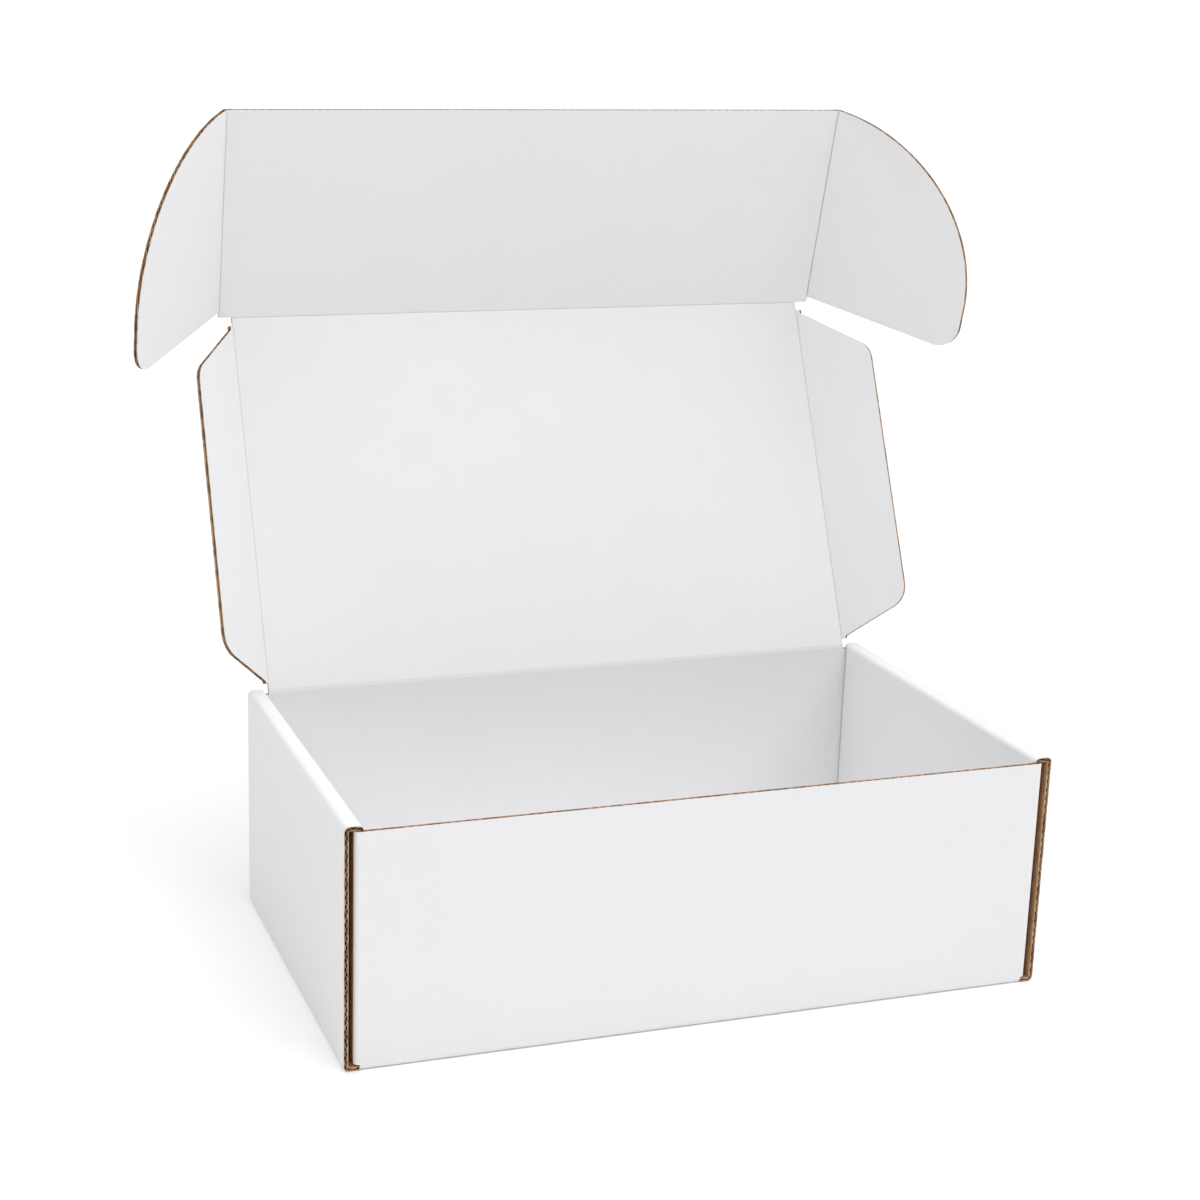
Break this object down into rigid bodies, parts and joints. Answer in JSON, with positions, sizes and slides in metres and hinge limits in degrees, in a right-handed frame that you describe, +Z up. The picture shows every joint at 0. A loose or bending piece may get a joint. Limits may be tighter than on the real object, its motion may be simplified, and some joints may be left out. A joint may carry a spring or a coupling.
{
  "type": "corrugated mailer box",
  "caption": "Open corrugated mailer box folded from one sheet, with rolled side walls, a hinged lid with side flaps and a tuck flap with rounded ears.",
  "frame": {"origin": "centre of the base panel's outer face, on the surface the box stands on", "axes": "+X towards the box's right side, +Y from the front panel towards the lid's hinge, +Z up"},
  "size_m": [0.3488, 0.219, 0.3139],
  "materials": {
    "white_board": "matt white liner on both faces, light brown raw cut edges with open flutes"
  },
  "bodies": {
    "tray": {"tray": "white_board"},
    "lid_panel": {"lid_panel": "white_board"},
    "lid_flap_left": {"lid_flap_left": "white_board"},
    "lid_flap_right": {"lid_flap_right": "white_board"},
    "tuck_flap": {"tuck_flap": "white_board"},
    "ear_left": {"ear_left": "white_board"},
    "ear_right": {"ear_right": "white_board"}
  },
  "joints": [
    {"name": "lid_hinge", "type": "hinge", "parent": "tray", "child": "lid_panel", "pos_m": [0, 0.0762, 0.0892], "axis": [-1, 0, 0], "range_deg": [-115, 65]},
    {"name": "lid_flap_left_hinge", "type": "hinge", "parent": "lid_panel", "child": "lid_flap_left", "pos_m": [-0.1269, 0.0762, 0.0892], "axis": [0, 0.4226, 0.9063], "range_deg": [-50, 86]},
    {"name": "lid_flap_right_hinge", "type": "hinge", "parent": "lid_panel", "child": "lid_flap_right", "pos_m": [0.1269, 0.0762, 0.0892], "axis": [0, -0.4226, -0.9063], "range_deg": [-50, 86]},
    {"name": "tuck_hinge", "type": "hinge", "parent": "lid_panel", "child": "tuck_flap", "pos_m": [0, 0.14145, 0.22913], "axis": [1, 0, 0], "range_deg": [-39, 51]},
    {"name": "ear_left_hinge", "type": "hinge", "parent": "tuck_flap", "child": "ear_left", "pos_m": [-0.1324, 0.14145, 0.22913], "axis": [0, -0.2419, 0.9703], "range_deg": [-55, 35]},
    {"name": "ear_right_hinge", "type": "hinge", "parent": "tuck_flap", "child": "ear_right", "pos_m": [0.1324, 0.14145, 0.22913], "axis": [0, 0.2419, -0.9703], "range_deg": [-60, 30]}
  ],
  "couplings": [
    {"joint": "lid_flap_left_hinge", "follows": "lid_hinge", "ratio": -0.74},
    {"joint": "lid_flap_right_hinge", "follows": "lid_hinge", "ratio": -0.74}
  ]
}
